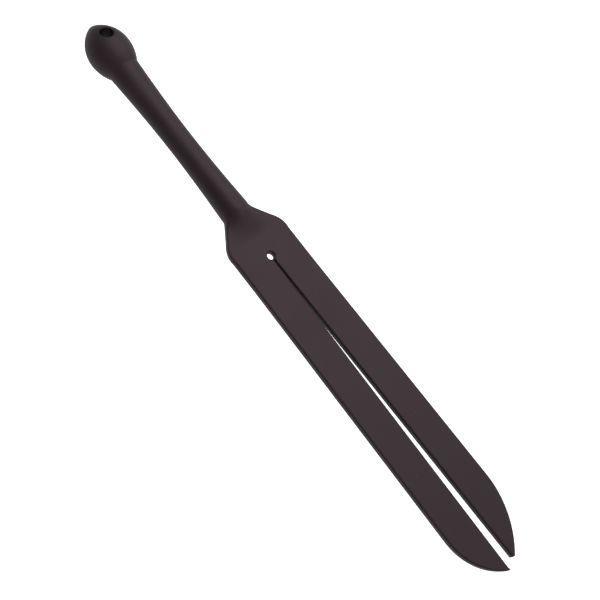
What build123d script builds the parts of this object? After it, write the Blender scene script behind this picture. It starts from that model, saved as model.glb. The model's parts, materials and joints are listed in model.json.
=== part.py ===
from build123d import *
import os
from math import asin, cos, degrees, radians, sin, sqrt, tan

# A rubber strap moulded in one piece around a stiffening core: an egg-shaped pommel with a hang hole,
# a round waisted grip, a shoulder that flattens into a blade, and a slit that parts the blade into two
# flexible tails. The one moulding is cut here into the zones that bend against each other, and each
# zone is a solid of its own. Lengths are in millimetres and angles in degrees.
#
# The frame: the origin is the middle of the hang hole, +X runs from the pommel to the tail tips,
# +Z is square to the blade's upper face (the hang hole's axis), and the left tail lies on +Y.

# Pommel, measured along X from its free end
HANG_HOLE_SETBACK = 12.9
POMMEL_FRONT = 20.9
POMMEL_DIAMETER = 29.4
POMMEL_NOSE_RADIUS = 5.2
HANG_HOLE_DIAMETER = 9.0
HANG_HOLE_RIM = 0.8

# Grip: diameters and slopes of its profile at the neck, the waist and the shoulder
NECK_LENGTH = 14.6
NECK_DIAMETER = 21.0
NECK_SLOPE = -0.055
NECK_FILLET = 2.5
NECK_TO_WAIST = 60.5
WAIST_DIAMETER = 17.0
WAIST_TO_SHOULDER = 54.0
GRIP_END_DIAMETER = 20.0
GRIP_END_SLOPE = 0.05

# Shoulder: where the round grip fans out and flattens
FLANK_SETBACK = 2.5
FLANK_ANGLE = 33.5
FLANK_HOLLOW_RADIUS = 6.0
SHOULDER_RADIUS = 14.0
FAIRING_END_MARGIN = 0.4
FAIRING_INSET = 5.2
FAIRING_SINK = 0.6
FAIRING_SPREAD_POWER = 1.5
FAIRING_SECTIONS = 7

# Blade and its two tails
BLADE_WIDTH = 46.4
BLADE_THICKNESS = 5.2
EDGE_RADIUS = 1.2
SHOULDER_TO_ROOT_HINGE = 6.6
ROOT_HINGE_TO_RELIEF_HOLE = 9.2
RELIEF_HOLE_DIAMETER = 5.0
RELIEF_HOLE_TO_SPLAY = 13.8
SLIT_WIDTH = 0.8
TAIL_SPLAY_ANGLE = 0.75
SPLAY_BLEND_RADIUS = 250.0
TAIL_LENGTH = 229.0
LEFT_TAIL_SHORTFALL = 4.0
LEFT_TIP_LENGTH = 48.0
RIGHT_TIP_LENGTH = 38.0
LEFT_TIP_FLAT = 2.2
RIGHT_TIP_FLAT = 0.6

# Bending zones along each tail: three evenly spaced bends, a twist, and two more bends before the tip
SPLAY_LOBE_MARGIN = 3.4
FIRST_BEND = 28.0
TWIST_SETBACK = 29.0
TIP_ZONE = 41.0
HINGE_CLEARANCE = 0.3
NOSE_CROWN = 0.05
ZONE_NAMES = ["root", "zone_1", "zone_2", "zone_3", "zone_4", "zone_5", "tip"]

# Stiffening core: a rod in the grip with a flat, pierced tang in the shoulder
CORE_DIAMETER = 6.0
CORE_SETBACK = 8.0
CORE_INTO_SHOULDER = 9.0
TANG_WIDTH = 14.0
TANG_CORNER_RADIUS = 3.5
TANG_COVER = 1.6
TANG_END_MARGIN = 2.0
TANG_HOLE_DIAMETER = 3.5
TANG_HOLE_SETBACK = 4.5

# Cutting blocks: past any section of the part, past its whole length, and past the face they start on
REACH = 60.0
BEYOND = 600.0
CUT_MARGIN = 1.0

# Two places closer than this are the same place
SAME = 0.05

# Stations along X
POMMEL_END = -HANG_HOLE_SETBACK
POMMEL_WIDEST = POMMEL_END + POMMEL_FRONT
NECK = POMMEL_WIDEST + NECK_LENGTH
WAIST = NECK + NECK_TO_WAIST
GRIP_END = WAIST + WAIST_TO_SHOULDER
FLANK_START = GRIP_END + FLANK_SETBACK
HALF_WIDTH = BLADE_WIDTH / 2
GRIP_END_RADIUS = GRIP_END_DIAMETER / 2
SHOULDER = FLANK_START + (HALF_WIDTH - GRIP_END_RADIUS) / tan(radians(FLANK_ANGLE))
ROOT_HINGE = SHOULDER + SHOULDER_TO_ROOT_HINGE
RELIEF_HOLE = ROOT_HINGE + ROOT_HINGE_TO_RELIEF_HOLE
SPLAY_AXIS = RELIEF_HOLE + RELIEF_HOLE_TO_SPLAY
ROD_START = NECK + CORE_SETBACK
ROD_END = GRIP_END + CORE_INTO_SHOULDER
TANG_START = ROD_END - TANG_WIDTH / 2
TANG_THICKNESS = BLADE_THICKNESS - 2 * TANG_COVER

# A hinge between two zones: a round nose that turns in a hollow socket
NOSE_RADIUS = BLADE_THICKNESS / 2 + NOSE_CROWN
SOCKET_RADIUS = NOSE_RADIUS + HINGE_CLEARANCE
SOCKET_MOUTH = sqrt(SOCKET_RADIUS**2 - (BLADE_THICKNESS / 2) ** 2)
FAIRING_END = ROOT_HINGE - SOCKET_RADIUS - FAIRING_END_MARGIN
TANG_END = ROOT_HINGE - SOCKET_RADIUS - TANG_END_MARGIN

# Each tail in its own frame: u runs along it from the splay axis, v across it towards its outer edge
TAIL_WIDTH = (HALF_WIDTH - SLIT_WIDTH / 2) / cos(radians(TAIL_SPLAY_ANGLE))
TAIL_MIDDLE = (HALF_WIDTH + SLIT_WIDTH / 2) / 2
LEFT_TAIL_LENGTH = TAIL_LENGTH - LEFT_TAIL_SHORTFALL
LEFT = 1
RIGHT = -1
SPLAY_REACH = TAIL_WIDTH / 2 + SPLAY_LOBE_MARGIN
BEND_SPACING = (TAIL_LENGTH - FIRST_BEND - 2 * TWIST_SETBACK - TIP_ZONE) / 3
BEND_1 = FIRST_BEND
BEND_2 = BEND_1 + BEND_SPACING
BEND_3 = BEND_2 + BEND_SPACING
TWIST = BEND_3 + TWIST_SETBACK
BEND_4 = TWIST + TWIST_SETBACK
BEND_5 = BEND_4 + BEND_SPACING


def slope_curve(start, end, start_slope, end_slope):
    """A cubic from start to end whose slope at each end is given."""
    third = (end[0] - start[0]) / 3
    near_start = (start[0] + third, start[1] + third * start_slope)
    near_end = (end[0] - third, end[1] - third * end_slope)
    return Bezier(start, near_start, near_end, end)


def handle_blank():
    """Pommel and grip as one turned shape, with no hole or core."""
    radius = POMMEL_DIAMETER / 2
    neck_radius = NECK_DIAMETER / 2
    nose = POMMEL_NOSE_RADIUS
    flank = (POMMEL_FRONT**2 + radius**2 - 2 * POMMEL_FRONT * nose) / (2 * (radius - nose))
    flank_angle = degrees(asin((POMMEL_FRONT - nose) / (flank - nose)))
    drop = radius - neck_radius
    rear = (NECK_LENGTH**2 + drop**2) / (2 * drop)
    rear_angle = degrees(asin(NECK_LENGTH / rear))
    waist = (WAIST, WAIST_DIAMETER / 2)
    outline = [
        CenterArc((POMMEL_END + nose, 0), nose, 180, flank_angle - 90),
        CenterArc((POMMEL_WIDEST, radius - flank), flank, 90 + flank_angle, -flank_angle),
        CenterArc((POMMEL_WIDEST, radius - rear), rear, 90, -rear_angle),
        slope_curve((NECK, neck_radius), waist, NECK_SLOPE, 0),
        slope_curve(waist, (GRIP_END, GRIP_END_RADIUS), 0, GRIP_END_SLOPE),
        Line((GRIP_END, GRIP_END_RADIUS), (GRIP_END, 0)),
        Line((GRIP_END, 0), (POMMEL_END, 0)),
    ]
    profile = make_face(Wire(outline))
    neck_corner = profile.vertices().sort_by_distance((NECK, neck_radius, 0))[0]
    return revolve(fillet(neck_corner, NECK_FILLET), Axis.X)


def between(start, end):
    """A block from X = start to X = end, larger than the part's section."""
    return Pos((start + end) / 2, 0, 0) * Box(end - start, 2 * REACH, 2 * REACH)


def onward(start):
    """A block from X = start to beyond the tails' tips."""
    return between(start, start + BEYOND)


def across(radius):
    """A rod along Y through the origin, longer than the part is wide."""
    return Rot(90, 0, 0) * Cylinder(radius, 2 * REACH)


def pommel():
    """The egg-shaped end, with the hang hole through it along Z."""
    bored = handle_blank() & between(POMMEL_END - CUT_MARGIN, NECK)
    bored -= Cylinder(HANG_HOLE_DIAMETER / 2, 2 * REACH)
    wall = bored.faces().filter_by(GeomType.CYLINDER).sort_by_distance((0, 0, 0))[0]
    return fillet(wall.edges().filter_by(GeomType.LINE, reverse=True), HANG_HOLE_RIM)


def stiffening_core():
    """The rod and its pierced tang, all inside the rubber."""
    lying = Pos((ROD_START + ROD_END) / 2, 0, 0) * Rot(0, 90, 0)
    rod = lying * Cylinder(CORE_DIAMETER / 2, ROD_END - ROD_START)
    plate = Box(TANG_END - TANG_START, TANG_WIDTH, TANG_THICKNESS)
    plate = fillet(plate.edges().filter_by(Axis.Z), TANG_CORNER_RADIUS)
    core = rod + Pos((TANG_START + TANG_END) / 2, 0, 0) * plate
    return core - Pos(TANG_END - TANG_HOLE_SETBACK, 0, 0) * Cylinder(TANG_HOLE_DIAMETER / 2, REACH)


def grip():
    """The waisted round handle, moulded around the core's rod."""
    return (handle_blank() & between(NECK, GRIP_END)) - stiffening_core()


def tail_point(side, u, v):
    """A point of one tail's own frame, in the part's frame."""
    angle = radians(TAIL_SPLAY_ANGLE)
    x = SPLAY_AXIS + u * cos(angle) - v * sin(angle)
    y = TAIL_MIDDLE + u * sin(angle) + v * cos(angle)
    return (x, side * y)


def half_plan(side, length, tip_length, tip_flat):
    """The outline of half the blade, from the shoulder to one tail's tip, seen from above."""
    outer = TAIL_WIDTH / 2
    drop = TAIL_WIDTH - tip_flat
    radius = (tip_length**2 + drop**2) / (2 * drop)
    half_turn = asin(tip_length / radius) / 2
    arc_start = length - tip_length
    arc_middle = (arc_start + radius * sin(half_turn), outer - radius * (1 - cos(half_turn)))
    slit_start = RELIEF_HOLE - SPLAY_AXIS
    slit_half = tail_point(LEFT, slit_start, -outer)[1]
    neck = (GRIP_END, side * (GRIP_END_RADIUS - FAIRING_SINK))
    flank = (FLANK_START, neck[1])
    shoulder = (SHOULDER, side * HALF_WIDTH)
    bends = FilletPolyline(
        [neck, flank, shoulder, tail_point(side, 0, outer), tail_point(side, arc_start, outer)],
        radius=[FLANK_HOLLOW_RADIUS, SHOULDER_RADIUS, SPLAY_BLEND_RADIUS],
    )
    tip_arc = ThreePointArc(
        tail_point(side, arc_start, outer),
        tail_point(side, *arc_middle),
        tail_point(side, length, outer - drop),
    )
    outline = [
        *bends.edges(),
        tip_arc,
        Line(tail_point(side, length, outer - drop), tail_point(side, length, -outer)),
        Line(tail_point(side, length, -outer), (RELIEF_HOLE, side * slit_half)),
        Line((RELIEF_HOLE, side * slit_half), (RELIEF_HOLE, 0)),
        Line((RELIEF_HOLE, 0), (GRIP_END, 0)),
        Line((GRIP_END, 0), neck),
    ]
    return make_face(Wire(outline))


def blade_blank():
    """The whole flat part, from inside the shoulder to both tips, before it is parted into zones."""
    plan = half_plan(LEFT, LEFT_TAIL_LENGTH, LEFT_TIP_LENGTH, LEFT_TIP_FLAT)
    plan += half_plan(RIGHT, TAIL_LENGTH, RIGHT_TIP_LENGTH, RIGHT_TIP_FLAT)
    plan -= Pos(RELIEF_HOLE, 0) * Circle(RELIEF_HOLE_DIAMETER / 2)
    slab = extrude(plan, BLADE_THICKNESS / 2, both=True)
    longest_flat = max(LEFT_TIP_FLAT, RIGHT_TIP_FLAT)
    outer_rims = []
    slit_rims = []
    for rim in slab.faces().filter_by(Axis.Z).edges():
        box = rim.bounding_box()
        widest = max(abs(box.min.Y), abs(box.max.Y))
        if box.min.X < GRIP_END + SAME or rim.length < longest_flat + SAME:
            continue
        if widest > GRIP_END_RADIUS:
            outer_rims.append(rim)
        else:
            slit_rims.append(rim)
    return fillet(outer_rims, EDGE_RADIUS) & fillet(slit_rims, EDGE_RADIUS)


def fairing():
    """The round grip fading into the blade: sections that widen as they flatten."""
    sections = []
    widening = HALF_WIDTH - FAIRING_INSET - GRIP_END_RADIUS
    flattening = GRIP_END_RADIUS - (BLADE_THICKNESS / 2 - FAIRING_SINK)
    for step in range(FAIRING_SECTIONS):
        part_way = step / (FAIRING_SECTIONS - 1)
        eased = part_way**2 * (3 - 2 * part_way)
        half_wide = GRIP_END_RADIUS + widening * part_way**FAIRING_SPREAD_POWER
        half_high = GRIP_END_RADIUS - flattening * eased
        station = Plane.YZ.offset(GRIP_END + (FAIRING_END - GRIP_END) * part_way)
        sections.append(station * Ellipse(half_wide, half_high))
    return loft(sections)


def socket_cut(hinge):
    """What is cut off a zone where it ends in a socket around a hinge axis along Y."""
    return onward(hinge - SOCKET_MOUTH) + Pos(hinge, 0, 0) * across(SOCKET_RADIUS)


def nose_keep(hinge):
    """What is kept of a zone that starts with a nose around a hinge axis along Y."""
    return onward(hinge) + Pos(hinge, 0, 0) * across(NOSE_RADIUS)


def shoulder(blank):
    """From the end of the grip to the blade's root hinge, moulded around the core's tang."""
    flat = blank & between(GRIP_END, ROOT_HINGE + CUT_MARGIN)
    return (flat + fairing()) - stiffening_core() - socket_cut(ROOT_HINGE)


def tail_frame(side):
    """The frame of one tail: its origin on the splay axis, +X along the tail."""
    return Location((SPLAY_AXIS, side * TAIL_MIDDLE, 0), (0, 0, side * TAIL_SPLAY_ANGLE))


def blade_root(blank):
    """From the root hinge past the relief hole to the two round lobes that the tails splay on."""
    middle = nose_keep(ROOT_HINGE) & between(ROOT_HINGE - NOSE_RADIUS, SPLAY_AXIS)
    lobe = Cylinder(SPLAY_REACH, REACH) & Box(2 * REACH, TAIL_WIDTH + SLIT_WIDTH / 2, REACH)
    front = between(SPLAY_AXIS - CUT_MARGIN, SPLAY_AXIS + SPLAY_REACH)
    lobes = [tail_frame(side) * lobe & front for side in (LEFT, RIGHT)]
    return blank & (middle + lobes)


def tail_zone(half, side, start, end):
    """One zone of a tail: half is that side of the blank, start and end are cutting shapes."""
    zone = half & (tail_frame(side) * start)
    return zone - tail_frame(side) * end if end else zone


def tail_zones(blank, side):
    """The seven zones of one tail, in order from the splay axis to the tip."""
    past_root = onward(SPLAY_AXIS - REACH)
    half = blank & past_root & Pos(0, side * REACH, 0) * past_root
    past_lobe = onward(0) - Cylinder(SPLAY_REACH + HINGE_CLEARANCE, REACH)
    ends = [
        (past_lobe, socket_cut(BEND_1)),
        (nose_keep(BEND_1), socket_cut(BEND_2)),
        (nose_keep(BEND_2), socket_cut(BEND_3)),
        (nose_keep(BEND_3), onward(TWIST - HINGE_CLEARANCE / 2)),
        (onward(TWIST + HINGE_CLEARANCE / 2), socket_cut(BEND_4)),
        (nose_keep(BEND_4), socket_cut(BEND_5)),
        (nose_keep(BEND_5), None),
    ]
    return [tail_zone(half, side, start, end) for start, end in ends]


def all_parts():
    """Every node's name and its solid."""
    blank = blade_blank()
    parts = {
        "pommel": pommel(),
        "grip": grip(),
        "stiffening_core": stiffening_core(),
        "shoulder": shoulder(blank),
        "blade_root": blade_root(blank),
    }
    for side, name in ((LEFT, "tail_left"), (RIGHT, "tail_right")):
        for zone_name, zone in zip(ZONE_NAMES, tail_zones(blank, side)):
            parts[f"{name}_{zone_name}"] = zone
    return parts


os.makedirs("parts", exist_ok=True)
for name, shape in all_parts().items():
    export_step(shape, f"parts/{name}.step")
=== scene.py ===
import json
from math import asin, atan2, cos, hypot, pi, radians, sin, sqrt, tan

import bpy
from mathutils import Matrix, Vector, kdtree


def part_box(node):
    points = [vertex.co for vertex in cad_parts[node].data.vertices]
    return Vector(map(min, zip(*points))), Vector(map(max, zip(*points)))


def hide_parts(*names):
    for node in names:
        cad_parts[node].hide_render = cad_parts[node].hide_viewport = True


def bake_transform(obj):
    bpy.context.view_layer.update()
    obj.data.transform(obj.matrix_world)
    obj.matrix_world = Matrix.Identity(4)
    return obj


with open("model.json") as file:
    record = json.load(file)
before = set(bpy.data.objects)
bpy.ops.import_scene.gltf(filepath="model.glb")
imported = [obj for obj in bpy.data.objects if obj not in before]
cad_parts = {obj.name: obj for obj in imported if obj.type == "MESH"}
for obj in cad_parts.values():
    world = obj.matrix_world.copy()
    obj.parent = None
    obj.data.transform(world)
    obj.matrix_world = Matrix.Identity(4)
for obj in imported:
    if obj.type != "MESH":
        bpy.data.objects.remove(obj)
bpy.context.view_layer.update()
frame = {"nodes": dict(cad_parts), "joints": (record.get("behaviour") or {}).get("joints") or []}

# A rubber strap moulded in one piece: an egg-shaped pommel with a hang hole, a round waisted grip, a
# shoulder that flattens into a blade, and a slit that parts the blade into two flexible tails.
# The rubber is one unbroken skin. It is cut across, square to its length and halfway between two
# bending zones, into lengths that each cover one joint.
# Lengths are in metres, in the frame of the imported part: +X from pommel to tips, +Z out of the blade.

bl_info = {
    "name": "Split-tail rubber strap",
    "version": (1, 0, 0),
    "blender": (4, 5, 0),
    "location": "3D View > Sidebar > Strap",
    "description": "Builds the moulded rubber, the core's finish and the studio of a split-tail strap",
    "category": "Add Mesh",
}

MM = 0.001
LEFT = 1
RIGHT = -1
SIDES = {"left": LEFT, "right": RIGHT}

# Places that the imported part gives
POMMEL_LOW, POMMEL_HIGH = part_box("pommel")
GRIP_LOW, GRIP_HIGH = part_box("grip")
ROOT_LOW, ROOT_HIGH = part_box("blade_root")
JOINTS = {joint["name"]: joint for joint in frame["joints"]}
POMMEL_END = POMMEL_LOW.x
NECK = GRIP_LOW.x
GRIP_END = GRIP_HIGH.x
HALF_THICK = (ROOT_HIGH.z - ROOT_LOW.z) / 2
ROOT_HINGE = JOINTS["blade_root_bend"]["pos_m"][0]
SPLAY_AXIS, TAIL_MIDDLE = JOINTS["tail_left_splay"]["pos_m"][:2]
SPLAY_ANGLE = atan2(-JOINTS["tail_left_twist"]["axis"][1], -JOINTS["tail_left_twist"]["axis"][0])

# How finely the rubber is divided
RING_CELLS = 20
NOSE_CELLS = 28
BORE_CELLS = 4
ROUNDING_CELLS = 6
SKIN_CELLS = 16
TOP_CELLS = 12
WALL_CELLS = 2
TIP_CELLS = 40
HOLE_CELLS = 40
SPLAY_CELLS = 5
CUT_SPACING = 1.4 * MM
SCORE_OFFSETS = (-6 * MM, -2 * MM, 2 * MM, 6 * MM)
TIP_SETBACKS = (2 * MM, 4 * MM, 6 * MM, 9 * MM, 13 * MM, 20 * MM)
SEARCH_STEPS = 40
MOUTH_STEPS = 4
WELD_DISTANCE = 0.01 * MM

# Where the lengths of rubber meet, and how far each bending zone reaches from its hinge
CUT_RING = 15.0 * MM
SHOULDER_SEAM = ROOT_HINGE + 2.0 * MM
SLIT_SEAM = ROOT_HINGE + 13.0 * MM
SPLAY_REACH = 9.0 * MM
SPLAY_SEAM = 11.0 * MM
BEND_REACH = 16.0 * MM
TWIST_REACH = 11.0 * MM
SEAM_MARGIN = 1.0 * MM
FLAT_BORDER = 0.25 * MM

# Where the handle's rings lie closer together
NECK_FINE_START = NECK - 1.2 * MM
NECK_FINE_END = NECK + 1.8 * MM
SHOULDER_FINE_START = GRIP_END - 4 * MM

# Details of the shape that no one would change
EDGE_RADIUS = 1.2 * MM
GRIP_FACING_SHARE = 0.35
SWELL_SHARE = 0.85
TIP_ROUNDING_SHARE = 0.42
TIP_SOFTNESS = 0.6
MOUTH_CLEARANCE = radians(4)
SMOOTH_ANGLE = radians(40)

# Finish and light
RUBBER_RELIEF = 0.06 * MM
STEEL_RELIEF = 0.03 * MM
FINE_GRAIN = 2600.0
COARSE_GRAIN = 520.0
SLOW_VARIATION = 38.0
SPECK_SPREAD = 260.0
SPECK_RARITY = 0.93
FLOOR_SIZE = 12
FLOOR_PLACE = (0.2, 0, -0.3)
FLOOR_GLOW = 0.35
FLOOR_GLOW_SEEN = 0.8
ROOM_GLOW = 0.12
ROOM_GLOW_SEEN = 0.95


def length(name, description, default):
    """A size in metres, as the sidebar shows it."""
    return bpy.props.FloatProperty(
        name=name, description=description, default=default, unit="LENGTH", subtype="DISTANCE", precision=5
    )


def share(name, description, default):
    """A value from 0 to 1."""
    return bpy.props.FloatProperty(
        name=name, description=description, default=default, min=0, max=1, subtype="FACTOR"
    )


def colour(name, description, default):
    """A linear colour."""
    return bpy.props.FloatVectorProperty(
        name=name, description=description, default=default, size=3, min=0, max=1, subtype="COLOR"
    )


class StrapSizes(bpy.types.PropertyGroup):
    """Sizes of the rubber moulding."""

    pommel_front: length("Pommel front", "From the free end to the pommel's widest place", 20.9 * MM)
    pommel_diameter: length("Pommel diameter", "At its widest", POMMEL_HIGH.z - POMMEL_LOW.z)
    nose_radius: length("Nose radius", "Of the pommel's free end", 5.2 * MM)
    hang_hole: length("Hang hole", "Diameter of the hole through the pommel", 9.0 * MM)
    hang_hole_rim: length("Hang hole rim", "Rounding of the hole's mouths", 0.8 * MM)
    neck_diameter: length("Neck diameter", "Where the pommel meets the grip", 21.0 * MM)
    neck_hollow: length("Neck hollow", "Depth over which pommel and grip run together", 0.35 * MM)
    neck_slope: bpy.props.FloatProperty(name="Neck slope", description="Of the grip's side", default=-0.055)
    waist_setback: length("Waist setback", "From the neck to the grip's thinnest place", 60.5 * MM)
    waist_diameter: length("Waist diameter", "At the grip's thinnest", 17.0 * MM)
    grip_end_diameter: length("Grip end diameter", "Where the shoulder starts", 20.0 * MM)
    grip_end_slope: bpy.props.FloatProperty(name="Grip end slope", description="Of the grip's side", default=0.05)
    flank_angle: bpy.props.FloatProperty(
        name="Flank angle", description="Of the shoulder's sides", default=radians(34.75), subtype="ANGLE"
    )
    shoulder_setback: length("Shoulder setback", "From the shoulder's corner to the root hinge", 6.6 * MM)
    flank_hollow: length("Flank hollow", "How far grip and flank run together", 1.5 * MM)
    shoulder_round: length("Shoulder round", "How far flank and blade run together", 4.6 * MM)
    fading: length("Fading length", "Over which the round grip fades into the blade", 24.6 * MM)
    squaring: length("Squaring length", "Over which the grip's sides become the blade's edge", 13.0 * MM)
    blade_width: length("Blade width", "Across both tails at the root", 46.4 * MM)
    edge_radius: length("Edge radius", "Rounding of the blade's rims", EDGE_RADIUS)
    relief_hole: length("Relief hole", "Diameter of the hole where the slit starts", 5.0 * MM)
    relief_setback: length("Relief hole setback", "From the root hinge to the hole", 9.2 * MM)
    splay_blend: length("Splay blend", "Radius of the sides' bend where the tails splay", 250.0 * MM)
    left_tip: length("Left tip length", "Of the curved part of the left tail's tip", 48.0 * MM)
    right_tip: length("Right tip length", "Of the curved part of the right tail's tip", 38.0 * MM)
    left_tip_flat: length("Left tip flat", "Width of the left tip's end", 2.2 * MM)
    right_tip_flat: length("Right tip flat", "Width of the right tip's end", 0.6 * MM)


class StrapLook(bpy.types.PropertyGroup):
    """Colours and finish."""

    rubber: colour("Rubber", "Colour of the moulded rubber", (0.034, 0.0235, 0.0265))
    rubber_pale: colour("Pale rubber", "Where the rubber has bloomed", (0.046, 0.032, 0.036))
    dust: colour("Dust", "Colour of the specks of dust", (0.22, 0.2, 0.19))
    steel: colour("Steel", "Colour of the core", (0.42, 0.41, 0.4))
    floor: colour("Floor", "Colour of the studio floor", (0.92, 0.92, 0.92))
    sheen: colour("Sheen", "Tint of the rubber's reflections", (1.0, 0.77, 0.84))
    roughness: share("Roughness", "Of the rubber", 0.53)
    grain: share("Grain", "Strength of the rubber's fine texture", 0.35)


def sizes():
    """The strap's sizes as the scene holds them."""
    return bpy.context.scene.strap_sizes


def look():
    """The strap's colours as the scene holds them."""
    return bpy.context.scene.strap_look


# ---- curves that shape the rubber ----


def smooth_step(low, high, value):
    """0 below low, 1 above high, and an even S between."""
    part_way = min(1, max(0, (value - low) / (high - low)))
    return part_way * part_way * (3 - 2 * part_way)


def smooth_max(a, b, reach):
    """The larger of two, rounded over where they are within reach of each other."""
    part_way = min(1, max(0, 0.5 + 0.5 * (a - b) / reach))
    return b + (a - b) * part_way + reach * part_way * (1 - part_way) / 2


def slope_curve(start, end, start_slope, end_slope, x):
    """The height at x of the cubic from start to end with those slopes at its ends."""
    run = end[0] - start[0]
    t = (x - start[0]) / run
    rise = (1 + 2 * t) * (1 - t) ** 2 * start[1] + t * t * (3 - 2 * t) * end[1]
    return rise + run * (t * (1 - t) ** 2 * start_slope + t * t * (t - 1) * end_slope)


def grip_radius(x):
    """The grip's radius, carried on straight before the neck."""
    s = sizes()
    neck = (NECK, s.neck_diameter / 2)
    waist = (NECK + s.waist_setback, s.waist_diameter / 2)
    end = (GRIP_END, s.grip_end_diameter / 2)
    if x < NECK:
        return neck[1] + s.neck_slope * (x - NECK)
    if x < waist[0]:
        return slope_curve(neck, waist, s.neck_slope, 0, x)
    return slope_curve(waist, end, 0, s.grip_end_slope, min(x, GRIP_END))


def handle_radius(x):
    """The radius of pommel and grip at x, and below 0 past the pommel's end."""
    s = sizes()
    radius = s.pommel_diameter / 2
    nose = s.nose_radius
    front = s.pommel_front
    widest = POMMEL_END + front
    flank = (front**2 + radius**2 - 2 * front * nose) / (2 * (radius - nose))
    junction = widest - flank * (front - nose) / (flank - nose)
    if x < POMMEL_END:
        return x - POMMEL_END
    if x < junction:
        return sqrt(max(0, nose**2 - (x - POMMEL_END - nose) ** 2))
    if x < widest:
        return radius - flank + sqrt(flank**2 - (x - widest) ** 2)
    run = NECK - widest
    drop = radius - s.neck_diameter / 2
    rear = (run**2 + drop**2) / (2 * drop)
    back = radius - rear + sqrt(rear**2 - min(x - widest, rear) ** 2)
    return smooth_max(back, grip_radius(x), s.neck_hollow)


def half_width(x):
    """Half the shoulder's width at x, from the end of the grip to the blade's full width."""
    s = sizes()
    full = s.blade_width / 2
    corner = ROOT_HINGE - s.shoulder_setback
    side = s.grip_end_diameter / 2 + s.grip_end_slope * (x - GRIP_END)
    flank = full - (corner - x) * tan(s.flank_angle)
    return -smooth_max(-smooth_max(side, flank, s.flank_hollow), -full, s.shoulder_round)


def blade_section(half):
    """A quarter of the blade's section, half wide: from the middle of its top to the middle of its side."""
    radius = sizes().edge_radius
    flat = half - radius
    last = flat - FLAT_BORDER
    points = [(last * i / (TOP_CELLS - 1), HALF_THICK) for i in range(TOP_CELLS)]
    points.append((flat, HALF_THICK))
    for i in range(1, ROUNDING_CELLS + 1):
        turn = pi / 2 * i / ROUNDING_CELLS
        points.append((flat + radius * sin(turn), HALF_THICK - radius + radius * cos(turn)))
    wall = HALF_THICK - radius
    points += [(half, wall * (1 - i / WALL_CELLS)) for i in range(1, WALL_CELLS + 1)]
    return points


def handle_section(x):
    """A quarter of the handle's section at x: a circle that widens and flattens into the blade's section."""
    s = sizes()
    turns = [pi / 2 * i / RING_CELLS for i in range(RING_CELLS + 1)]
    if x <= GRIP_END:
        radius = handle_radius(x)
        return [(radius * sin(turn), radius * cos(turn)) for turn in turns]
    wide = half_width(x)
    end = s.grip_end_diameter / 2
    faded = GRIP_END + s.fading
    high = HALF_THICK
    if x < faded:
        high = slope_curve((GRIP_END, end), (faded, HALF_THICK), s.grip_end_slope, 0, x)
    squared = smooth_step(GRIP_END, GRIP_END + s.squaring, x)
    swell = min(wide - FLAT_BORDER, SWELL_SHARE * s.blade_width / 2)
    points = []
    for turn, (y, z) in zip(turns, blade_section(wide)):
        raised = z + (high - HALF_THICK) * max(0, 1 - (y / swell) ** 2) ** 2
        points.append((
            wide * sin(turn) * (1 - squared) + y * squared,
            high * cos(turn) * (1 - squared) + raised * squared,
        ))
    return points


# ---- the pommel, divided in rings round its hang hole ----


def pommel_heart():
    """A point inside the pommel that sees all of its skin."""
    return Vector(((POMMEL_END + sizes().pommel_front) / 2, 0, 0))


def skin_along(direction):
    """Where the ray from the pommel's heart meets its skin."""
    heart = pommel_heart()
    near = 0
    far = sizes().pommel_diameter * 2
    for _ in range(SEARCH_STEPS):
        middle = (near + far) / 2
        at = heart + direction * middle
        if hypot(at.y, at.z) < handle_radius(at.x):
            near = middle
        else:
            far = middle
    return heart + direction * near


def skin_above(x, y):
    """The height of the pommel's skin over a place in its middle plane."""
    return sqrt(max(0, handle_radius(x) ** 2 - y * y))


def pommel_row(i):
    """Row i of the pommel's quarter: up the hole's wall, over its rim, and out over the skin."""
    s = sizes()
    heart = pommel_heart()
    if i <= RING_CELLS:
        around = pi * GRIP_FACING_SHARE * i / RING_CELLS
        turn = pi / 2 * i / RING_CELLS
        radius = handle_radius(CUT_RING)
        end = Vector((CUT_RING, radius * sin(turn), radius * cos(turn)))
    else:
        part_way = (i - RING_CELLS) / NOSE_CELLS
        around = pi * (GRIP_FACING_SHARE + (1 - GRIP_FACING_SHARE) * part_way)
        first = atan2(handle_radius(CUT_RING), CUT_RING - heart.x)
        turn = first + (pi - first) * part_way
        end = skin_along(Vector((cos(turn), sin(turn), 0)))
    out = Vector((cos(around), sin(around), 0))
    hole = s.hang_hole / 2
    rim = s.hang_hole_rim
    corner = out * hole
    corner.z = skin_above(corner.x, corner.y)
    wall = corner - Vector((0, 0, rim))
    mouth = out * (hole + rim)
    mouth.z = skin_above(mouth.x, mouth.y)
    row = [Vector((wall.x, wall.y, wall.z * k / BORE_CELLS)) for k in range(BORE_CELLS + 1)]
    bulge = cos(pi / 4)
    for k in range(1, ROUNDING_CELLS + 1):
        t = k / ROUNDING_CELLS
        weights = ((1 - t) ** 2, 2 * t * (1 - t) * bulge, t * t)
        row.append((wall * weights[0] + corner * weights[1] + mouth * weights[2]) / sum(weights))
    for k in range(1, SKIN_CELLS):
        way = (mouth - heart).normalized().slerp((end - heart).normalized(), k / SKIN_CELLS)
        row.append(skin_along(way))
    row.append(end)
    return row


# ---- the blade's outline ----


def tail_point(side, u, v):
    """A point of one tail's own frame: u along it from the splay axis, v across it towards its outer edge."""
    x = SPLAY_AXIS + u * cos(SPLAY_ANGLE) - v * sin(SPLAY_ANGLE)
    y = TAIL_MIDDLE + u * sin(SPLAY_ANGLE) + v * cos(SPLAY_ANGLE)
    return Vector((x, side * y, 0))


def tail_half_width():
    """Half the width of one tail."""
    return (sizes().blade_width / 2 - TAIL_MIDDLE) / cos(SPLAY_ANGLE)


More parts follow.
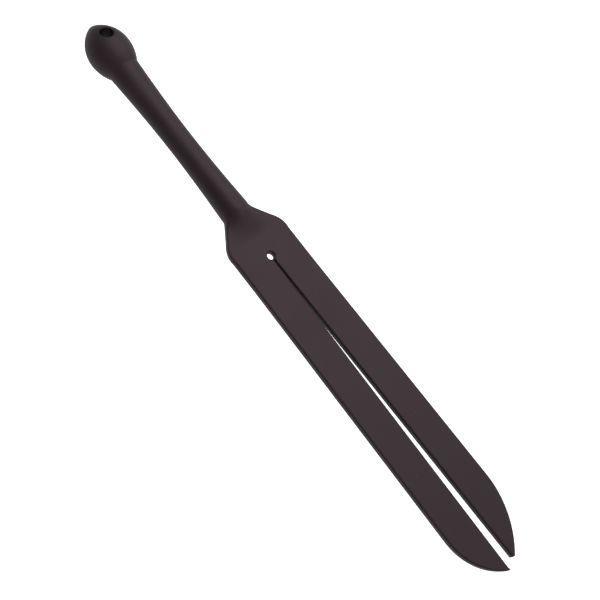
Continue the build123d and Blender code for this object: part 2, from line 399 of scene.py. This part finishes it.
def tail_length(side):
    """From the splay axis to the tip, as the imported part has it."""
    node = "tail_left_tip" if side == LEFT else "tail_right_tip"
    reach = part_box(node)[1].x - SPLAY_AXIS
    return (reach - tail_half_width() * sin(SPLAY_ANGLE)) / cos(SPLAY_ANGLE)


def round_corner(before, corner, after, radius, cells):
    """The points of an arc that rounds a corner."""
    back = (before - corner).normalized()
    onward = (after - corner).normalized()
    half = back.angle(onward) / 2
    centre = corner + (back + onward).normalized() * radius / sin(half)
    start = corner + back * radius / tan(half) - centre
    end = corner + onward * radius / tan(half) - centre
    return [centre + start.slerp(end, i / cells) * radius for i in range(cells + 1)]


def tail_outline(side):
    """One side of the blade from the shoulder seam round the tip to the relief hole: (point, rounding)."""
    s = sizes()
    outer = tail_half_width()
    end = tail_length(side)
    tip = s.left_tip if side == LEFT else s.right_tip
    flat = s.left_tip_flat if side == LEFT else s.right_tip_flat
    drop = 2 * outer - flat
    radius = (tip**2 + drop**2) / (2 * drop)
    start = end - tip
    full = s.blade_width / 2

    def rounding(u):
        """The rims' rounding, less where the tip is narrow."""
        past = min(tip, max(0, u - start))
        width = 2 * outer - radius + sqrt(radius**2 - past**2)
        return min(s.edge_radius, TIP_ROUNDING_SHARE * width)

    points = [(Vector((SHOULDER_SEAM, side * full, 0)), s.edge_radius)]
    bend = tail_point(side, 0, outer).x - s.splay_blend * tan(SPLAY_ANGLE / 2)
    for i in range(SPLAY_CELLS + 1):
        turn = SPLAY_ANGLE * i / SPLAY_CELLS
        rise = s.splay_blend * (1 - cos(turn))
        points.append((Vector((bend + s.splay_blend * sin(turn), side * (full + rise), 0)), s.edge_radius))
    last = asin(tip / radius)
    arc = []
    for i in range(TIP_CELLS + 1):
        turn = last * i / TIP_CELLS
        u = start + radius * sin(turn)
        arc.append((tail_point(side, u, outer - radius * (1 - cos(turn))), rounding(u)))
    nose = tail_point(side, end, -outer + flat)
    heel = tail_point(side, end, -outer)
    softness = TIP_SOFTNESS * flat
    points += arc[:-1]
    narrow = rounding(end)
    for corner in (
        round_corner(arc[-2][0], nose, heel, softness, ROUNDING_CELLS),
        round_corner(nose, heel, tail_point(side, 0, -outer), softness, ROUNDING_CELLS),
    ):
        points += [(point, narrow) for point in corner]
    for setback in TIP_SETBACKS:
        u = end - setback
        points.append((tail_point(side, u, -outer), rounding(u)))
    return points


def relief_outline():
    """The relief hole from the right tail's slit edge round to the left tail's: (point, rounding)."""
    s = sizes()
    radius = s.relief_hole / 2
    centre = Vector((ROOT_HINGE + s.relief_setback, 0, 0))
    edge = tail_point(LEFT, centre.x - SPLAY_AXIS, -tail_half_width()).y
    mouth = asin(edge / radius)
    for _ in range(MOUTH_STEPS):
        mouth = asin((edge + radius * cos(mouth) * tan(SPLAY_ANGLE)) / radius)
    inset = s.edge_radius + FLAT_BORDER
    clear = asin((edge + inset) / (radius + inset)) + MOUTH_CLEARANCE
    turns = [mouth] + [clear + (pi - clear) * i / HOLE_CELLS for i in range(HOLE_CELLS + 1)]
    half = [(centre + Vector((radius * cos(turn), radius * sin(turn), 0)), s.edge_radius) for turn in turns]
    mirrored = [(Vector((point.x, -point.y, 0)), rounding) for point, rounding in half]
    return mirrored + half[-2::-1]


def blade_outline():
    """The whole flat blade past the shoulder seam, anticlockwise from above: (point, rounding)."""
    right = tail_outline(RIGHT)
    left = tail_outline(LEFT)
    return right + relief_outline() + left[::-1]


def inset_outline(outline, inset):
    """Each point of an outline moved into the rubber by inset(rounding); the shoulder seam stays put."""
    count = len(outline)
    moved = []
    for i, (point, rounding) in enumerate(outline):
        normals = []
        for a, b in ((outline[i - 1][0], point), (point, outline[(i + 1) % count][0])):
            run = (b - a).normalized()
            normals.append(Vector((-run.y, run.x, 0)))
        if i == 0:
            normals[0] = normals[1]
        if i == count - 1:
            normals[1] = normals[0]
        mitre = (normals[0] + normals[1]) / (1 + normals[0].dot(normals[1]))
        moved.append(point + mitre * inset(rounding))
    return moved


# ---- modelling by hand ----


def select_only(obj):
    """Makes obj the one selected and active object."""
    bpy.ops.object.select_all(action="DESELECT")
    obj.select_set(True)
    bpy.context.view_layer.objects.active = obj


def apply_modifier(obj, kind, **settings):
    """Adds a modifier with those settings and applies it."""
    select_only(obj)
    modifier = obj.modifiers.new(kind.title(), kind)
    for name, value in settings.items():
        setattr(modifier, name, value)
    bpy.ops.object.modifier_apply(modifier=modifier.name)


def in_edit_mode(obj, *steps):
    """Selects all of obj's mesh in edit mode and runs each step."""
    select_only(obj)
    bpy.ops.object.mode_set(mode="EDIT")
    bpy.ops.mesh.select_all(action="SELECT")
    for step in steps:
        step()
    bpy.ops.object.mode_set(mode="OBJECT")


def add_grid(name, across, along, places):
    """A flat grid of that many cells whose corners are laid on places[across][along]."""
    bpy.ops.object.select_all(action="DESELECT")
    bpy.ops.mesh.primitive_grid_add(x_subdivisions=across, y_subdivisions=along, size=1)
    obj = bpy.context.object
    obj.name = name
    for vertex in obj.data.vertices:
        i = round((vertex.co.x + 0.5) * across)
        j = round((vertex.co.y + 0.5) * along)
        vertex.co = places[i][j]
    return obj


def extrude_cap(obj, here, there):
    """Extrudes the selected cap and moves its rim from the places here to the places there."""
    bpy.ops.mesh.extrude_region_move()
    bpy.ops.object.mode_set(mode="OBJECT")
    tree = kdtree.KDTree(len(here))
    for i, place in enumerate(here):
        tree.insert(place, i)
    tree.balance()
    for vertex in obj.data.vertices:
        if vertex.select:
            vertex.co = there[tree.find(vertex.co)[1]]
    bpy.ops.object.mode_set(mode="EDIT")


def slice_off(place, normal, keep_ahead):
    """Cuts the selected mesh by a plane, throws one side away and closes the cut."""
    bpy.ops.mesh.select_all(action="SELECT")
    bpy.ops.mesh.bisect(
        plane_co=place, plane_no=normal, use_fill=True, clear_inner=keep_ahead, clear_outer=not keep_ahead
    )


def score(place, normal):
    """Cuts a line round the mesh by a plane, and keeps both sides."""
    bpy.ops.mesh.select_all(action="SELECT")
    bpy.ops.mesh.bisect(plane_co=place, plane_no=normal)


def score_between(start, end, normal):
    """Cuts evenly spaced lines round the mesh, from start to end."""
    count = max(1, round((end - start).length / CUT_SPACING))
    for i in range(1, count):
        score(start.lerp(end, i / count), normal)


def copy_of(master, name):
    """A copy of an object with a mesh of its own."""
    obj = master.copy()
    obj.data = master.data.copy()
    obj.name = name
    obj.data.name = name
    bpy.context.scene.collection.objects.link(obj)
    return obj


def finish_rubber(obj, nodes):
    """Smooths a length of rubber, keeps its resting shape for the finish, and hides the imported parts it
    replaces.
    """
    in_edit_mode(obj, bpy.ops.mesh.remove_doubles, bpy.ops.mesh.normals_make_consistent)
    select_only(obj)
    bpy.ops.object.shade_smooth_by_angle(angle=SMOOTH_ANGLE)
    rest = obj.data.attributes.new("moulded_at", "FLOAT_VECTOR", "POINT")
    for vertex, place in zip(obj.data.vertices, rest.data):
        place.vector = vertex.co
    obj.data.materials.clear()
    obj.data.materials.append(black_rubber())
    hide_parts(*nodes)
    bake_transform(obj)


# ---- finishes ----


def group(name, inputs, outputs):
    """An empty shader node group with those sockets, and its input and output nodes."""
    tree = bpy.data.node_groups.new(name, "ShaderNodeTree")
    for socket, kind, value in inputs:
        made = tree.interface.new_socket(socket, in_out="INPUT", socket_type=kind)
        if value is not None:
            made.default_value = value
    for socket, kind in outputs:
        tree.interface.new_socket(socket, in_out="OUTPUT", socket_type=kind)
    return tree, tree.nodes.new("NodeGroupInput"), tree.nodes.new("NodeGroupOutput")


def add_node(tree, kind, links=(), **settings):
    """A node with its settings, its inputs linked or set."""
    node = tree.nodes.new(kind)
    for name, value in settings.items():
        setattr(node, name, value)
    for socket, value in links:
        if isinstance(value, bpy.types.NodeSocket):
            tree.links.new(value, node.inputs[socket])
        else:
            node.inputs[socket].default_value = value
    return node


def ramp(tree, value, low, high):
    """value brought from low..high to 0..1, and held there."""
    node = add_node(tree, "ShaderNodeMapRange", [("Value", value), ("From Min", low), ("From Max", high)])
    return node.outputs["Result"]


def calculate(tree, operation, a, b=0.0):
    """A sum, product or other result of two values."""
    return add_node(tree, "ShaderNodeMath", [(0, a), (1, b)], operation=operation).outputs[0]


def noise_of(tree, place, scale, detail=2.0):
    """A noise over the surface, from 0 to 1."""
    links = [("Vector", place), ("Scale", scale), ("Detail", detail)]
    return add_node(tree, "ShaderNodeTexNoise", links).outputs["Fac"]


def surface_grain():
    """The fine, even unevenness of a moulded or drawn surface: a height and a slow variation."""
    found = bpy.data.node_groups.get("surface_grain")
    if found:
        return found
    tree, entry, result = group(
        "surface_grain",
        [("Place", "NodeSocketVector", None), ("Fineness", "NodeSocketFloat", 1.0)],
        [("Height", "NodeSocketFloat"), ("Variation", "NodeSocketFloat")],
    )
    place = entry.outputs["Place"]
    scaled = add_node(tree, "ShaderNodeVectorMath", [(0, place)], operation="SCALE")
    tree.links.new(entry.outputs["Fineness"], scaled.inputs["Scale"])
    fine = noise_of(tree, scaled.outputs[0], FINE_GRAIN, 3.0)
    coarse = noise_of(tree, scaled.outputs[0], COARSE_GRAIN, 2.0)
    height = calculate(tree, "ADD", calculate(tree, "MULTIPLY", fine, 0.35), coarse)
    slow = noise_of(tree, place, SLOW_VARIATION, 4.0)
    tree.links.new(height, result.inputs["Height"])
    tree.links.new(ramp(tree, slow, 0.3, 0.7), result.inputs["Variation"])
    return tree


def dust_specks():
    """Sparse small specks: a mask that is 1 on a speck."""
    found = bpy.data.node_groups.get("dust_specks")
    if found:
        return found
    tree, entry, result = group(
        "dust_specks",
        [("Place", "NodeSocketVector", None), ("Spread", "NodeSocketFloat", SPECK_SPREAD)],
        [("Mask", "NodeSocketFloat")],
    )
    place = entry.outputs["Place"]
    cells = add_node(tree, "ShaderNodeTexVoronoi", [("Vector", place)])
    tree.links.new(entry.outputs["Spread"], cells.inputs["Scale"])
    near = ramp(tree, cells.outputs["Distance"], 0.07, 0.03)
    chosen = add_node(tree, "ShaderNodeSeparateColor", [("Color", cells.outputs["Color"])])
    rare = calculate(tree, "GREATER_THAN", chosen.outputs["Red"], SPECK_RARITY)
    tree.links.new(calculate(tree, "MULTIPLY", near, rare), result.inputs["Mask"])
    return tree


def place_group(tree, made, place, **values):
    """A node group in a material, read at that place."""
    node = tree.nodes.new("ShaderNodeGroup")
    node.node_tree = made
    tree.links.new(place, node.inputs["Place"])
    for name, value in values.items():
        node.inputs[name].default_value = value
    return node


def new_material(name):
    """An empty material with a Principled shader joined to its output."""
    material = bpy.data.materials.new(name)
    material.use_nodes = True
    tree = material.node_tree
    tree.nodes.clear()
    shader = tree.nodes.new("ShaderNodeBsdfPrincipled")
    output = tree.nodes.new("ShaderNodeOutputMaterial")
    tree.links.new(shader.outputs["BSDF"], output.inputs["Surface"])
    return material, tree, shader


def mix_colours(tree, amount, a, b):
    """Colour a turning to colour b with amount."""
    node = add_node(tree, "ShaderNodeMix", data_type="RGBA")
    for socket, value in ((0, amount), (6, a), (7, b)):
        if isinstance(value, bpy.types.NodeSocket):
            tree.links.new(value, node.inputs[socket])
        else:
            node.inputs[socket].default_value = value if socket == 0 else (*value, 1)
    return node.outputs[2]


def black_rubber():
    """Satin black rubber, slightly plum, with a fine moulded grain, slow bloom and a few specks of dust."""
    found = bpy.data.materials.get("satin_black_rubber")
    if found:
        return found
    material, tree, shader = new_material("satin_black_rubber")
    place = add_node(tree, "ShaderNodeAttribute", attribute_name="moulded_at").outputs["Vector"]
    grain = place_group(tree, surface_grain(), place, Fineness=1.0)
    specks = place_group(tree, dust_specks(), place, Spread=SPECK_SPREAD)
    bloom = grain.outputs["Variation"]
    rubber = mix_colours(tree, calculate(tree, "MULTIPLY", bloom, 0.6), look().rubber, look().rubber_pale)
    dusty = mix_colours(tree, calculate(tree, "MULTIPLY", specks.outputs["Mask"], 0.5), rubber, look().dust)
    tree.links.new(dusty, shader.inputs["Base Color"])
    rough = calculate(tree, "MULTIPLY_ADD", bloom, 0.1)
    rough.node.inputs[2].default_value = look().roughness - 0.05
    tree.links.new(rough, shader.inputs["Roughness"])
    shader.inputs["Specular IOR Level"].default_value = 0.35
    shader.inputs["Specular Tint"].default_value = (*look().sheen, 1)
    bump = add_node(tree, "ShaderNodeBump", [("Strength", look().grain), ("Distance", RUBBER_RELIEF)])
    tree.links.new(grain.outputs["Height"], bump.inputs["Height"])
    tree.links.new(bump.outputs["Normal"], shader.inputs["Normal"])
    return material


def drawn_steel():
    """The core's wire: bright steel with fine lines along its length."""
    material, tree, shader = new_material("drawn_core_steel")
    place = add_node(tree, "ShaderNodeTexCoord").outputs["Object"]
    drawn = add_node(tree, "ShaderNodeMapping", [("Vector", place), ("Scale", (0.05, 1.0, 1.0))])
    grain = place_group(tree, surface_grain(), drawn.outputs["Vector"], Fineness=2.0)
    steel = look().steel
    worn = tuple(part * 0.7 for part in steel)
    tree.links.new(mix_colours(tree, grain.outputs["Height"], worn, steel), shader.inputs["Base Color"])
    shader.inputs["Metallic"].default_value = 1.0
    tree.links.new(ramp(tree, grain.outputs["Height"], -1.2, 3.0), shader.inputs["Roughness"])
    bump = add_node(tree, "ShaderNodeBump", [("Strength", 0.3), ("Distance", STEEL_RELIEF)])
    tree.links.new(grain.outputs["Height"], bump.inputs["Height"])
    tree.links.new(bump.outputs["Normal"], shader.inputs["Normal"])
    return material


def studio_floor():
    """A matt white sheet, lit evenly."""
    material, tree, shader = new_material("studio_floor")
    place = add_node(tree, "ShaderNodeTexCoord").outputs["Object"]
    tint = noise_of(tree, place, 2.0)
    pale = look().floor
    shade = tuple(part * 0.98 for part in pale)
    tree.links.new(mix_colours(tree, tint, shade, pale), shader.inputs["Base Color"])
    shader.inputs["Roughness"].default_value = 0.9
    shader.inputs["Specular IOR Level"].default_value = 0.0
    shader.inputs["Emission Color"].default_value = (1.0, 1.0, 1.0, 1.0)
    seen = add_node(tree, "ShaderNodeLightPath").outputs["Is Camera Ray"]
    strengths = [("Value", seen), ("To Min", FLOOR_GLOW), ("To Max", FLOOR_GLOW_SEEN)]
    glow = add_node(tree, "ShaderNodeMapRange", strengths)
    tree.links.new(glow.outputs["Result"], shader.inputs["Emission Strength"])
    return material


# ---- operators: one for each piece or group of like pieces, and one for the stage ----


class STRAP_OT_handle(bpy.types.Operator):
    """Mould the pommel, the grip and the shoulder as one skin"""

    bl_idname = "strap.handle"
    bl_label = "Handle"

    def execute(self, context):
        rows = [pommel_row(i) for i in range(RING_CELLS + NOSE_CELLS + 1)]
        pommel = add_grid("pommel_quarter", len(rows) - 1, len(rows[0]) - 1, rows)
        stretches = [
            (CUT_RING, NECK_FINE_START, 0.8 * MM),
            (NECK_FINE_START, NECK_FINE_END, 0.25 * MM),
            (NECK_FINE_END, SHOULDER_FINE_START, 2.5 * MM),
            (SHOULDER_FINE_START, SHOULDER_SEAM, 0.6 * MM),
        ]
        stations = [CUT_RING]
        for start, end, spacing in stretches:
            count = round((end - start) / spacing)
            stations += [start + (end - start) * i / count for i in range(1, count + 1)]
        rings = [[Vector((x, y, z)) for y, z in handle_section(x)] for x in stations]
        handle = add_grid("rubber_handle", len(stations) - 1, RING_CELLS, rings)
        select_only(handle)
        pommel.select_set(True)
        bpy.ops.object.join()
        apply_modifier(handle, "WELD", merge_threshold=WELD_DISTANCE)
        apply_modifier(
            handle,
            "MIRROR",
            use_axis=(False, True, True),
            use_mirror_merge=True,
            merge_threshold=WELD_DISTANCE,
        )

        def close_seam():
            bpy.ops.mesh.select_all(action="DESELECT")
            bpy.ops.mesh.select_non_manifold()
            bpy.ops.mesh.edge_face_add()
            bpy.ops.mesh.select_all(action="SELECT")

        in_edit_mode(handle, bpy.ops.mesh.remove_doubles, close_seam)
        finish_rubber(handle, ["pommel", "grip", "shoulder"])
        return {"FINISHED"}


class STRAP_OT_blade(bpy.types.Operator):
    """Mould the flat blade and cut it into lengths: the root and seven lengths a tail"""

    bl_idname = "strap.blade"
    bl_label = "Blade and tails"

    def execute(self, context):
        blade = self.mould_blade()
        self.cut_root(blade)
        for name, side in SIDES.items():
            self.cut_tail(blade, name, side)
        bpy.data.objects.remove(blade)
        return {"FINISHED"}

    def mould_blade(self):
        """The whole flat blade past the shoulder seam as one closed mesh, rounded at its rims."""
        outline = blade_outline()
        rise = HALF_THICK
        border = 1 + FLAT_BORDER / EDGE_RADIUS
        layers = [(inset_outline(outline, lambda rounding: rounding * border), None)]
        for i in range(ROUNDING_CELLS + 1):
            turn = pi / 2 * i / ROUNDING_CELLS
            layers.append((inset_outline(outline, lambda rounding: rounding * (1 - sin(turn))), turn))
        top = []
        for points, turn in layers:
            lift = [0 if turn is None else rounding * (1 - cos(turn)) for point, rounding in outline]
            top.append([Vector((p.x, p.y, rise - down)) for p, down in zip(points, lift)])
        below = [[Vector((p.x, p.y, -p.z)) for p in layer] for layer in top]
        middle = [Vector((point.x, point.y, 0)) for point, rounding in outline]
        levels = below + [middle] + top[::-1]
        bpy.ops.object.select_all(action="DESELECT")
        bpy.ops.mesh.primitive_circle_add(vertices=len(outline), radius=1, fill_type="NGON")
        blade = bpy.context.object
        blade.name = "blade_blank"
        for vertex, place in zip(blade.data.vertices, levels[0]):
            vertex.co = place
        select_only(blade)
        bpy.ops.object.mode_set(mode="EDIT")
        bpy.ops.mesh.select_all(action="SELECT")
        for here, there in zip(levels, levels[1:]):
            extrude_cap(blade, here, there)
        bpy.ops.object.mode_set(mode="OBJECT")
        return blade

    def cut_root(self, blade):
        """The plate with the relief hole, up to where the tails part."""
        along = Vector((1, 0, 0))
        start = Vector((SHOULDER_SEAM, 0, 0))
        end = Vector((SLIT_SEAM, 0, 0))
        root = copy_of(blade, "rubber_blade_root")
        in_edit_mode(
            root,
            lambda: slice_off(end, along, False),
            lambda: score_between(start, end, along),
            bpy.ops.mesh.normals_make_consistent,
        )
        finish_rubber(root, ["blade_root"])

    def cut_tail(self, blade, name, side):
        """One tail's seven lengths, each from halfway before its joint to halfway after it."""
        along = (tail_point(side, 1, 0) - tail_point(side, 0, 0)).normalized()
        across = Vector((-along.y, along.x, 0))
        origin = tail_point(side, 0, 0)
        tail = copy_of(blade, f"tail_{name}")
        in_edit_mode(
            tail,
            lambda: slice_off(Vector((SLIT_SEAM, 0, 0)), Vector((1, 0, 0)), True),
            lambda: slice_off(Vector((0, 0, 0)), Vector((0, 1, 0)), side == LEFT),
            bpy.ops.mesh.normals_make_consistent,
        )
        stops = [joint for joint in frame["joints"] if joint["name"].startswith(f"tail_{name}_")]
        hinges = [(Vector(joint["pos_m"]) - origin).dot(along) for joint in stops]
        seams = [SPLAY_SEAM]
        for joint, hinge in zip(stops[1:], hinges[1:]):
            reach = TWIST_REACH if joint["name"].endswith("twist") else BEND_REACH
            seams.append(hinge + reach + SEAM_MARGIN)
        for k, (joint, hinge) in enumerate(zip(stops, hinges)):
            piece = copy_of(tail, f"rubber_{joint['child']}")
            first = origin + along * seams[k - 1]
            last = origin + along * seams[k]
            steps = []
            if k > 0:
                steps.append(lambda: slice_off(first, along, True))
            if k < len(stops) - 1:
                steps.append(lambda: slice_off(last, along, False))
            begin = origin - along * SPLAY_REACH if k == 0 else first
            steps.append(lambda: score_between(begin, last, along))
            for offset in SCORE_OFFSETS:
                steps.append(lambda offset=offset: score(origin + across * offset, across))
            in_edit_mode(piece, *steps)
            reach = SPLAY_REACH if k == 0 else (seams[k] - SEAM_MARGIN - hinge)
            finish_rubber(piece, [joint["child"]])
        bpy.data.objects.remove(tail)


class STRAP_OT_core(bpy.types.Operator):
    """Give the hidden stiffening core its drawn steel"""

    bl_idname = "strap.core"
    bl_label = "Core"

    def execute(self, context):
        core = frame["nodes"]["stiffening_core"]
        core.data.materials.clear()
        core.data.materials.append(drawn_steel())
        return {"FINISHED"}


class STRAP_OT_stage(bpy.types.Operator):
    """Set up the floor, the soft lights and the camera"""

    bl_idname = "strap.stage"
    bl_label = "Studio"

    def execute(self, context):
        self.lay_floor()
        self.hang_light("overhead", Vector((-0.2, 0.4, 1.0)), width=1.4, height=1.3, power=10.5)
        self.hang_light("side", Vector((-0.1, 1.3, 0.4)), width=1.0, height=0.6, power=1.5)
        self.hang_light("end", Vector((1.2, 0.3, 0.7)), width=0.6, height=1.0, power=2.2, tilt=radians(50))
        self.fill_room(context)
        self.place_camera(context)
        return {"FINISHED"}

    def lay_floor(self):
        """A wide pale floor well below the strap, clear of its hanging tails."""
        bpy.ops.object.select_all(action="DESELECT")
        bpy.ops.mesh.primitive_plane_add(size=FLOOR_SIZE, location=FLOOR_PLACE)
        floor = bpy.context.object
        floor.name = "studio_floor"
        bpy.ops.object.transform_apply(location=True, rotation=True, scale=True)
        floor.data.materials.append(studio_floor())

    def hang_light(self, name, place, width, height, power, tilt=0.0):
        """A softbox that faces the strap's line, and with a tilt turns back along it."""
        bpy.ops.object.select_all(action="DESELECT")
        bpy.ops.object.light_add(type="AREA", location=place)
        lamp = bpy.context.object
        lamp.name = name
        lamp.data.shape = "RECTANGLE"
        lamp.data.size = width
        lamp.data.size_y = height
        lamp.data.energy = power
        lamp.rotation_euler = (-atan2(place.y, place.z), tilt, 0)

    def fill_room(self, context):
        """A dim room that looks pale to the camera."""
        world = bpy.data.worlds.new("studio")
        world.use_nodes = True
        tree = world.node_tree
        background = tree.nodes["Background"]
        background.inputs["Color"].default_value = (1.0, 0.99, 0.98, 1.0)
        seen = add_node(tree, "ShaderNodeLightPath").outputs["Is Camera Ray"]
        strengths = [("Value", seen), ("To Min", ROOM_GLOW), ("To Max", ROOM_GLOW_SEEN)]
        glow = add_node(tree, "ShaderNodeMapRange", strengths)
        tree.links.new(glow.outputs["Result"], background.inputs["Strength"])
        context.scene.world = world
        context.scene.view_settings.view_transform = "Standard"
        context.scene.view_settings.look = "None"

    def place_camera(self, context):
        """Above and to the side of the strap's middle, turned so that the strap runs down to the right."""
        focal = 1104.9
        frame_side = 600
        back = Vector((0.07378, -0.48116, 0.87352))
        right = Vector((0.61391, 0.71219, 0.34044))
        place = Matrix.Translation((0.25965, -0.33542, 0.60511))
        data = bpy.data.cameras.new("camera")
        data.sensor_width = 36.0
        data.lens = data.sensor_width * focal / frame_side
        camera = bpy.data.objects.new("camera", data)
        context.scene.collection.objects.link(camera)
        up = back.cross(right)
        turn = Matrix((right, up, back)).transposed()
        camera.matrix_world = place @ turn.to_4x4()
        context.scene.camera = camera


class STRAP_PT_sidebar(bpy.types.Panel):
    """Lists the strap's operators, sizes and colours"""

    bl_idname = "STRAP_PT_sidebar"
    bl_label = "Split-tail strap"
    bl_space_type = "VIEW_3D"
    bl_region_type = "UI"
    bl_category = "Strap"

    def draw(self, context):
        for operator in (STRAP_OT_handle, STRAP_OT_blade, STRAP_OT_core, STRAP_OT_stage):
            self.layout.operator(operator.bl_idname)
        for values in (context.scene.strap_sizes, context.scene.strap_look):
            for name in values.__annotations__:
                self.layout.prop(values, name)


CLASSES = (
    StrapSizes,
    StrapLook,
    STRAP_OT_handle,
    STRAP_OT_blade,
    STRAP_OT_core,
    STRAP_OT_stage,
    STRAP_PT_sidebar,
)


def register():
    for made in CLASSES:
        bpy.utils.register_class(made)
    bpy.types.Scene.strap_sizes = bpy.props.PointerProperty(type=StrapSizes)
    bpy.types.Scene.strap_look = bpy.props.PointerProperty(type=StrapLook)


def unregister():
    del bpy.types.Scene.strap_look
    del bpy.types.Scene.strap_sizes
    for made in reversed(CLASSES):
        bpy.utils.unregister_class(made)


def main():
    register()
    bpy.ops.strap.handle()
    bpy.ops.strap.blade()
    bpy.ops.strap.core()
    bpy.ops.strap.stage()


if __name__ == "__main__":
    main()
